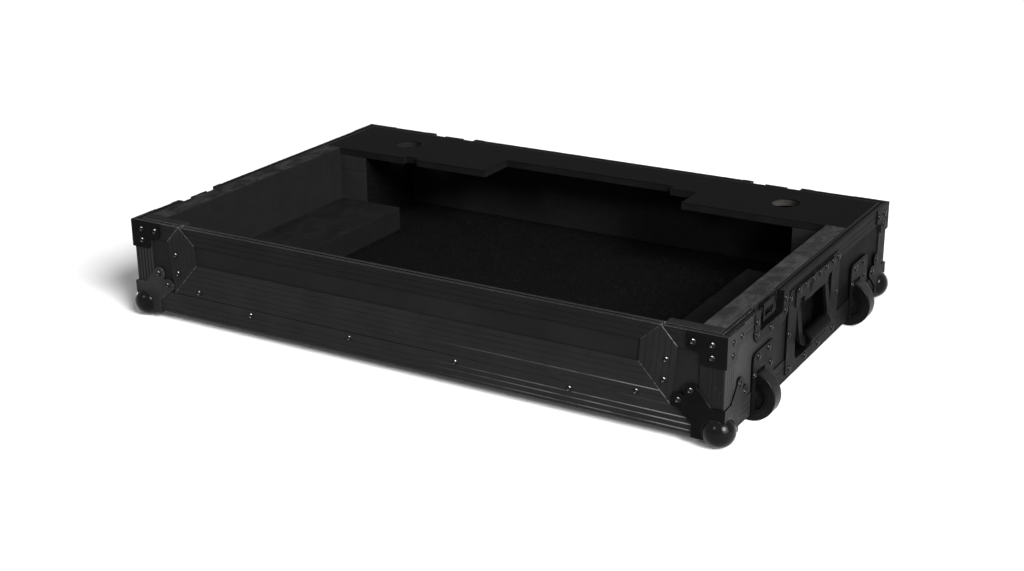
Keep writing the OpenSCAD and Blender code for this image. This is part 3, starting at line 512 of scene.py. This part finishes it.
# Painted highlights on a rivet, as spots of bright steel: the way they face, the cosines where
# they start and are full, strength
PAINTED_GLINTS = (
    ((0.14, -0.80, 0.58), 0.955, 0.988, 1.0),
    ((-0.24, -0.93, -0.27), 0.985, 0.997, 0.7),
)


def rivet_steel():
    """Glossy black paint over the rivets' domes, with painted highlights: bright steel in one or
    two spots that face the light.
    """
    f = Finish("rivet_black", 0.2, 0.07)
    facing = f.add("ShaderNodeTexCoord").outputs["Normal"]
    glints = None
    for direction, low, high, level in PAINTED_GLINTS:
        dot = f.add("ShaderNodeVectorMath", operation="DOT_PRODUCT")
        f.link(facing, dot.inputs[0])
        dot.inputs[1].default_value = Vector(direction).normalized()
        spot = f.times(f.curve(dot.outputs["Value"], low, high), level)
        glints = spot if glints is None else f.most(glints, spot)
    glints = f.times(glints, f.curve(f.noise(55, 3, 0.6), 0.36, 0.56, 0.35, 1.0))
    paint = f.mix(f.curve(f.noise(300, 3), 0.4, 0.7), grey(0.003), grey(0.007))
    f.colour(f.mix(glints, paint, grey(0.62, 0.01)))
    f.link(f.times(glints, 0.8), f.shader.inputs["Metallic"])
    f.roughness(f.curve(f.noise(500, 3), 0.3, 0.7, 0.12, 0.26))
    f.bump(f.noise(1500, 2), 0.2, 0.03 * MM)
    return f.done()


def mandrel_in_shade():
    """The dull broken mandrel down inside a rivet, painted near black as the shade in its hollow.
    """
    f = Finish("mandrel_steel", 0.3, 0.2)
    f.colour(f.mix(f.noise(900, 3), grey(0.003), grey(0.02)))
    f.roughness(f.curve(f.noise(1200, 2), 0.3, 0.7, 0.2, 0.4))
    return f.done()


def moulded(name, low, high, rough, fine, coarse, specular):
    """Black rubber or plastic: matt skin with a fine grain and dull scuffs."""
    f = Finish(name, rough, specular)
    scuff = f.curve(f.noise(55, 6, 0.7, distortion=0.6), 0.52, 0.72)
    f.colour(f.mix(scuff, grey(low), grey(high)))
    f.roughness(f.plus(f.curve(scuff, 0, 1, 0, 0.14), rough))
    f.soften(0.5 * MM)
    f.bump(f.noise(coarse, 3), 0.25, 0.12 * MM)
    f.bump(f.noise(fine, 2), 0.25, 0.04 * MM)
    return f.done()


def foam(name, rub_and_toplight_tone=0.0, amount=0.0, tone=1.0):
    """Closed-cell foam: cut cells and a mottled skin, with pale rubs on what faces up, which stand
    partly for scuffs and partly for painted light on the tops.
    """
    f = Finish(name, 0.95, 0.02)
    mottle = f.noise(38, 6, 0.68, distortion=0.4)
    speck = f.curve(f.cells(1400), 0.05, 0.45)
    base = f.mix(f.curve(mottle, 0.32, 0.72), grey(0.0105 * tone), grey(0.0165 * tone))
    # Pale rubs on the tops only: scuffs, and painted light
    if rub_and_toplight_tone:
        rub = f.curve(f.noise(42, 7, 0.78, (1.0, 0.6, 1.0), 0.5), 0.43, 0.62)
        normal = f.axes(f.add("ShaderNodeNewGeometry").outputs["Normal"])
        up = f.curve(normal["Z"], 0.6, 0.95, 0.0, amount)
        base = f.mix(f.times(rub, up), base, grey(rub_and_toplight_tone))
    f.colour(f.mix(f.times(speck, 0.30), base, grey(0.026 * tone)))
    f.roughness(f.curve(mottle, 0.3, 0.8, 0.88, 1.0))
    f.bump(f.noise(70, 4, 0.6), 0.30, 0.35 * MM)
    f.bump(f.cells(1100), 0.45, 0.12 * MM)
    return f.done()


def felt(name, dark, light):
    """Needled felt: short matted fibres with lighter flecks."""
    f = Finish(name, 1.0, 0.03)
    fleck = f.noise(380, 5, 0.85)
    patch = f.noise(24, 5, 0.6)
    base = f.mix(f.curve(patch, 0.3, 0.75), grey(dark), grey(dark * 1.4))
    f.colour(f.mix(f.curve(fleck, 0.54, 0.66), base, grey(light)))
    f.bump(f.noise(210, 5, 0.75), 0.6, 0.5 * MM)
    f.bump(fleck, 0.8, 0.25 * MM)
    return f.done()


def deck_faces():
    """Matt black facing of the rear deck, with a faint grain and wiped patches."""
    f = Finish("deck_facing_matt", 0.7, 0.006)
    wipe = f.noise(11, 5, 0.6, (1.0, 2.2, 1.0), 0.7)
    f.colour(f.mix(f.curve(wipe, 0.35, 0.72), grey(0.0048), grey(0.0064)))
    f.roughness(f.curve(wipe, 0.3, 0.75, 0.62, 0.78))
    f.soften(0.5 * MM)
    f.bump(f.noise(640, 4), 0.35, 0.08 * MM)
    return f.done()


def deck_wood(holes, radius):
    """Black edge of the deck board, and raw plies in its finger holes, each shown as strongly as
    given; painted shade dims the plies of the left hole.
    """
    f = Finish("deck_edge", 0.65, 0.03)
    at = f.axes()
    near = None
    for x, y, ply_light in holes:
        dx = f.minus(at["X"], x)
        dy = f.minus(at["Y"], y)
        reach = f.math("SQRT", f.plus(f.times(dx, dx), f.times(dy, dy)))
        inside = f.times(f.math("LESS_THAN", reach, radius + 0.4 * MM), ply_light)
        near = inside if near is None else f.most(near, inside)
    plies = f.noise(1.0, 2, 0.5, (30.0, 30.0, 620.0))
    wood = f.mix(f.curve(plies, 0.35, 0.65), (0.022, 0.021, 0.019), (0.052, 0.050, 0.046))
    wood = f.mix(f.curve(f.noise(260, 5, 0.7), 0.5, 0.75), wood, (0.018, 0.017, 0.015))
    black = f.mix(f.curve(f.noise(40, 4), 0.35, 0.7), grey(0.006), grey(0.009))
    f.colour(f.mix(near, black, wood))
    f.roughness(f.curve(f.noise(90, 4), 0.3, 0.7, 0.6, 0.78))
    f.soften(0.4 * MM)
    f.bump(f.noise(420, 4), 0.3, 0.1 * MM)
    return f.done()


# Meshes

# Welding distance, the angles under which faces count as flat and over which edges are sharp,
# the most rounds of splitting, and the slow random field's seed, waves and steps between pieces
WELD = 0.005 * MM
FLAT = math.radians(0.5)
SHARP = math.radians(40)
SPLIT_ROUNDS = 8
NOISE_SEED = 1
DRIFT_SIZE = 45 * MM
SEED_STEPS = (3.1, 1.7, 0.9)


def link_mesh(name, mesh, body):
    obj = bpy.data.objects.new(name, mesh)
    bpy.context.collection.objects.link(obj)
    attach(obj, body)
    return obj


def clean_copy(node):
    """A welded copy of a solid's mesh with its flat faces whole."""
    mesh = bmesh.new()
    mesh.from_mesh(nodes[node].data)
    bmesh.ops.remove_doubles(mesh, verts=mesh.verts, dist=WELD)
    bmesh.ops.dissolve_limit(mesh, angle_limit=FLAT, verts=mesh.verts, edges=mesh.edges)
    return mesh


def from_least(item):
    """The numbers of an edge's or face's corners, from the least one on round."""
    ring = [vert.index for vert in item.verts]
    first = ring.index(min(ring))
    return ring[first:] + ring[:first]


def in_triangles(mesh):
    """Cuts the faces into triangles and sorts them and the edges, so that each run is the same."""
    bmesh.ops.triangulate(mesh, faces=mesh.faces[:])
    mesh.verts.index_update()
    for pieces in (mesh.edges, mesh.faces):
        rank = {piece: place for place, piece in enumerate(sorted(pieces, key=from_least))}
        pieces.sort(key=rank.get)


def even_out(mesh, longest):
    """Splits long edges until the faces are fine enough to be shaped."""
    for _ in range(SPLIT_ROUNDS):
        in_triangles(mesh)
        long_edges = [e for e in mesh.edges if e.calc_length() > longest]
        if not long_edges:
            break
        bmesh.ops.subdivide_edges(mesh, edges=long_edges, cuts=1)
    in_triangles(mesh)


def drift(mesh, reach, seed):
    """Moves the surface by a slow random field, so that long edges aren't dead straight. The
    field's seed is set, because Blender takes it from the clock otherwise."""
    noise.seed_set(NOISE_SEED)
    offset = Vector([seed * step for step in SEED_STEPS])
    for vert in mesh.verts:
        vert.co += reach * noise.noise_vector(vert.co / DRIFT_SIZE + offset)


def press_seam(mesh, height, width, depth):
    """Presses a glue line into the upright faces at a height."""
    for z in (height - width, height, height + width):
        whole = mesh.verts[:] + mesh.edges[:] + mesh.faces[:]
        bmesh.ops.bisect_plane(mesh, geom=whole, dist=0.001 * MM, plane_co=(0, 0, z),
                               plane_no=(0, 0, 1))
    mesh.normal_update()
    line = [v for v in mesh.verts if abs(v.co.z - height) < 0.01 * MM]
    moves = [Vector((v.normal.x, v.normal.y, 0)) * -depth for v in line]
    for vert, move in zip(line, moves):
        vert.co += move


def soft_block(name, node, material, seed, rounding=1.6 * MM, reach=0.25 * MM,
               longest=14 * MM, glue_line=None, inward_finish=None):
    """A soft piece cut like its solid, with soft arrises and slightly uneven faces. It may have
    a glue line at a height, and another material on the faces that look to the middle."""
    mesh = clean_copy(node)
    inner = [edge for edge in mesh.edges if len(edge.link_faces) == 2]
    sharp = [edge for edge in inner if edge.calc_face_angle(0) > SHARP]
    bmesh.ops.bevel(mesh, geom=sharp, offset=rounding, segments=3, profile=0.5, affect="EDGES",
                    clamp_overlap=True)
    if glue_line:
        press_seam(mesh, glue_line, 0.7 * MM, 0.8 * MM)
    even_out(mesh, longest)
    drift(mesh, reach, seed)
    if inward_finish:
        mesh.normal_update()
        for face in mesh.faces:
            middle = face.calc_center_median()
            if face.normal.x * middle.x < 0 and abs(face.normal.x) > 0.5:
                face.material_index = 1
    data = bpy.data.meshes.new(name)
    mesh.to_mesh(data)
    mesh.free()
    data.materials.append(material)
    if inward_finish:
        data.materials.append(inward_finish)
    data.shade_smooth()
    obj = link_mesh(name, data, "case")
    even = obj.modifiers.new("even_shading", "WEIGHTED_NORMAL")
    even.weight = 100
    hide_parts(node)
    return obj


def dress(material, *names):
    for name in names:
        data = nodes[name].data
        data.materials.clear()
        data.materials.append(material)


def seam(strength, *points):
    """Two points, as millimetres in from the nearer end and up from the bottom edge."""
    return tuple((CASE_W / 2 - x * MM, GROUND + z * MM) for x, z in points) + (strength,)


# The front's mitres, and its grooves by their millimetres above the bottom edge and strength
SEAMS = (
    seam((0.45, 0.9), (82.0, 130.0), (60.9, 107.0)),
    seam((0.40, 0.10), (82.3, 130.0), (107.4, 107.0)),
    seam((0.35, 0.8), (88.5, 56.0), (67.4, 33.0)),
    seam((0.30, 0.4), (88.7, 56.3), (109.8, 79.3)),
)
REEDS = ((5.4, 0.55), (12.9, 0.7), (20.4, 0.7), (32.6, 0.4), (47.6, 0.6))

# Where a rim's lip starts and is full in Z, and how far out the joints of the front's top lie
LIP = (TOP - 1.6 * MM, TOP - 0.6 * MM)
JOINT_X = 0.375


def upper_edge(f, at):
    """Painted glints on the lips of the top groove, brightest by the joints at the left and right.
    """
    from_joint = f.size(f.minus(f.size(at["X"]), JOINT_X))
    return f.times(f.curve(at["Z"], *LIP), f.curve(from_joint, 0.02, 0.07, 1.0, 0.28))


def right_edge(f, at):
    """Painted glints in dots on the outer lip of the right rim, towards the front."""
    dots = f.curve(f.noise(230, 3, 0.7), 0.42, 0.58)
    return f.times(f.curve(at["Z"], *LIP), dots, f.curve(at["Y"], -0.08, -0.20))


# Several finishes below are lighter and darker copies of one another, set by their tone piece by
# piece and by the way each faces: painted light and shade. These are the foams, the back felt
# against the floor felt, and the laminate and anodising of the front, the top rims and the right
# side.
FOAM = foam("foam_grey")
FOAM_LEFT = foam("foam_left_rubbed_and_toplit", rub_and_toplight_tone=0.052, amount=0.80, tone=0.68)
FOAM_RIGHT = foam("foam_right_rubbed_and_toplit", rub_and_toplight_tone=0.062, amount=0.9, tone=1.3)
FOAM_STEP = foam("foam_step", rub_and_toplight_tone=0.013, amount=0.85, tone=0.46)
FOAM_POST = foam("foam_post", tone=1.05)
FLOOR_FELT = felt("felt_floor", dark=0.0016, light=0.0175)
BACK_FELT = felt("felt_back", dark=0.0085, light=0.032)
ENAMEL = enamel()
RIM_X = anodised("anodised_x", 0, soft=0, specular=0.008, tone=0.8)
FRONT_TOP = anodised("anodised_front_top", 0, SEAMS, upper_edge, tone=0.8, wear_and_glint_grey=0.40,
                     specular=0.035)
FRONT_LOW = anodised("anodised_front_low", 0, SEAMS, reeds=REEDS, tone=1.2)
RIM_Y = anodised("anodised_y", 1, soft=0, specular=0.008, tone=0.8)
RIM_RIGHT = anodised("anodised_right", 1, bright=right_edge, tone=0.45, wear_and_glint_grey=0.45,
                     specular=0.02, sheen=0.020)
RIM_Z = anodised("anodised_z", 2, tone=0.85, specular=0.035, sheen=0.022, ribs=0.022)
FRONT_Z = anodised("anodised_front_z", 2, SEAMS, tone=1.05)
LAMINATE = laminate("laminate_black")
LAMINATE_FRONT = laminate("laminate_front", tone=1.1)
LAMINATE_RIGHT = laminate("laminate_right", tone=0.30, specular=0.014, sheen=0.034)
RUBBER = moulded("grip_rubber", low=0.0012, high=0.0030, rough=0.50, fine=900, coarse=160,
                 specular=0.02)
TYRE = moulded("tyre_rubber", low=0.0026, high=0.0052, rough=0.30, fine=1100, coarse=120,
               specular=0.07)
HUB = moulded("hub_plastic", low=0.0040, high=0.0080, rough=0.40, fine=1300, coarse=200,
              specular=0.06)

dress(LAMINATE, "bottom_panel", "back_wall", "left_wall")
dress(LAMINATE_FRONT, "front_wall", "panel_board")
dress(LAMINATE_RIGHT, "right_wall")
dress(RIM_X, "edge_back", "rim_back")
dress(FRONT_TOP, "rim_front_posts", "panel_trim_top")
dress(FRONT_LOW, "edge_front", "opening_trim_sill", "panel_trim_bottom")
dress(RIM_Y, "edge_left", "rim_left")
dress(RIM_RIGHT, "edge_right", "rim_right")
dress(RIM_Z, "corner_angles")
dress(FRONT_Z, "opening_trim_sides", "panel_trim_sides")
ENAMEL_WORN = enamel("steel_enamel_worn", worn_by=0.50)
ENAMEL_BRACE = enamel("steel_enamel_brace", sheen=0.016)
for node in nodes:
    if node.startswith(("latch_", "handle_cover")):
        dress(ENAMEL_WORN, node)
    elif node.startswith("corner_braces"):
        dress(ENAMEL_BRACE, node)
    elif node.startswith(("handle_dish", "handle_pins", "handle_springs", "handle_bail",
                          "wheel_bracket", "wheel_axle")):
        dress(ENAMEL, node)

BALLS = sorted(node for node in nodes if node.startswith("ball_corner"))
BALL_R = 20.5 * MM
ball_low = Vector([min(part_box(node)[0][i] for node in BALLS) for i in range(3)])
ball_high = Vector([max(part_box(node)[1][i] for node in BALLS) for i in range(3)])
ball_half = (ball_high - ball_low) / 2
dress(ball_enamel((ball_low.x + ball_high.x) / 2, ball_half.x - BALL_R, ball_half.y - BALL_R,
                  ball_low.z + BALL_R, BALL_R), *BALLS)

dress(RUBBER, "handle_grip_right", "handle_grip_left")
dress(TYRE, "wheel_tyre_front", "wheel_tyre_rear")
dress(HUB, "wheel_hub_front", "wheel_hub_rear")
dress(deck_faces(), "deck_facing")

# The deck's finger holes: in from its ends and its back, and how much of their plies show; painted
# shade dims the left one's
HOLE_INSET = (124 - 12.7) * MM
HOLE_BACK = (76 - 12.7) * MM
HOLE_R = 20 * MM
deck_low, deck_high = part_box("deck_board")
hole_y = deck_high.y - HOLE_BACK
holes = ((deck_low.x + HOLE_INSET, hole_y, 0.22), (deck_high.x - HOLE_INSET, hole_y, 1.0))
dress(deck_wood(holes, HOLE_R), "deck_board")

FOAMS = (
    ("foam_left", FOAM_LEFT),
    ("foam_right", FOAM_RIGHT),
    ("foam_step_left", FOAM_STEP),
    ("foam_step_right", FOAM_STEP),
    ("foam_front_pads", FOAM),
)
for seed, (node, material) in enumerate(FOAMS):
    soft_block(node + "_cut", node, material, seed + 1)
POST_GLUE_Z = 0.107
# The posts' faces that look to the middle take the dark floor felt
rear_posts = soft_block("foam_rear_posts_cut", "foam_rear_posts", FOAM_POST, 7,
                        glue_line=POST_GLUE_Z, inward_finish=FLOOR_FELT)


def lay_felt(name, node, material, seed):
    """A felt lining cut flat from one sheet."""
    piece = soft_block(name, node, material, seed, rounding=0.5 * MM, reach=0.2 * MM,
                       longest=12 * MM)


lay_felt("floor_felt", "floor_lining", FLOOR_FELT, 11)
lay_felt("back_felt", "back_lining", BACK_FELT, 12)

# Rivets: a domed flange with the hollow end of its mandrel, drawn as radius and height in
# millimetres

RIVET_PROFILE = (
    (4.0, 0.0), (4.0, 0.30), (3.8, 0.72), (3.4, 1.12), (2.8, 1.50),
    (2.2, 1.72), (1.75, 1.80), (1.50, 1.72), (1.38, 1.40), (1.34, 0.60),
)
RIVET_SIDES = 20


def islands(mesh):
    """Groups of connected vertices."""
    left = set(mesh.verts)
    while left:
        stack = [min(left, key=lambda v: v.index)]
        left.discard(stack[0])
        group = []
        while stack:
            vert = stack.pop()
            group.append(vert)
            for edge in vert.link_edges:
                other = edge.other_vert(vert)
                if other in left:
                    left.discard(other)
                    stack.append(other)
        yield group


def rivet_places():
    """Foot and outward direction of every rivet head."""
    mesh = bmesh.new()
    mesh.from_mesh(nodes["rivets"].data)
    bmesh.ops.remove_doubles(mesh, verts=mesh.verts, dist=WELD)
    mesh.verts.index_update()
    places = []
    for group in islands(mesh):
        points = [v.co for v in group]
        small = Vector([min(p[i] for p in points) for i in range(3)])
        large = Vector([max(p[i] for p in points) for i in range(3)])
        size = large - small
        axis = min(range(3), key=lambda i: size[i])
        middle = (small + large) / 2
        others = [i for i in range(3) if i != axis]
        rim = max(points, key=lambda p: sum((p[i] - middle[i]) ** 2 for i in others))
        foot = middle.copy()
        foot[axis] = rim[axis]
        out = Vector((0, 0, 0))
        out[axis] = 1.0 if rim[axis] < middle[axis] else -1.0
        places.append((foot, out))
    mesh.free()
    return places


def rivet_piece():
    mesh = bmesh.new()
    for foot, out in rivet_places():
        turn = out.to_track_quat("Z", "Y")
        rings = []
        for radius, height in RIVET_PROFILE:
            ring = []
            for k in range(RIVET_SIDES):
                a = 2 * math.pi * k / RIVET_SIDES
                point = Vector((radius * math.cos(a), radius * math.sin(a), height)) * MM
                ring.append(mesh.verts.new(foot + turn @ point))
            rings.append(ring)
        for lower, upper in zip(rings, rings[1:]):
            for k in range(RIVET_SIDES):
                j = (k + 1) % RIVET_SIDES
                mesh.faces.new((lower[k], lower[j], upper[j], upper[k]))
        cap = mesh.faces.new(rings[-1])
        cap.material_index = 1
        mesh.faces.new(list(reversed(rings[0])))
    data = bpy.data.meshes.new("rivet_heads")
    mesh.to_mesh(data)
    mesh.free()
    data.materials.append(rivet_steel())
    data.materials.append(mandrel_in_shade())
    data.shade_smooth()
    obj = link_mesh("rivet_heads", data, "case")
    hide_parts("rivets")


rivet_piece()
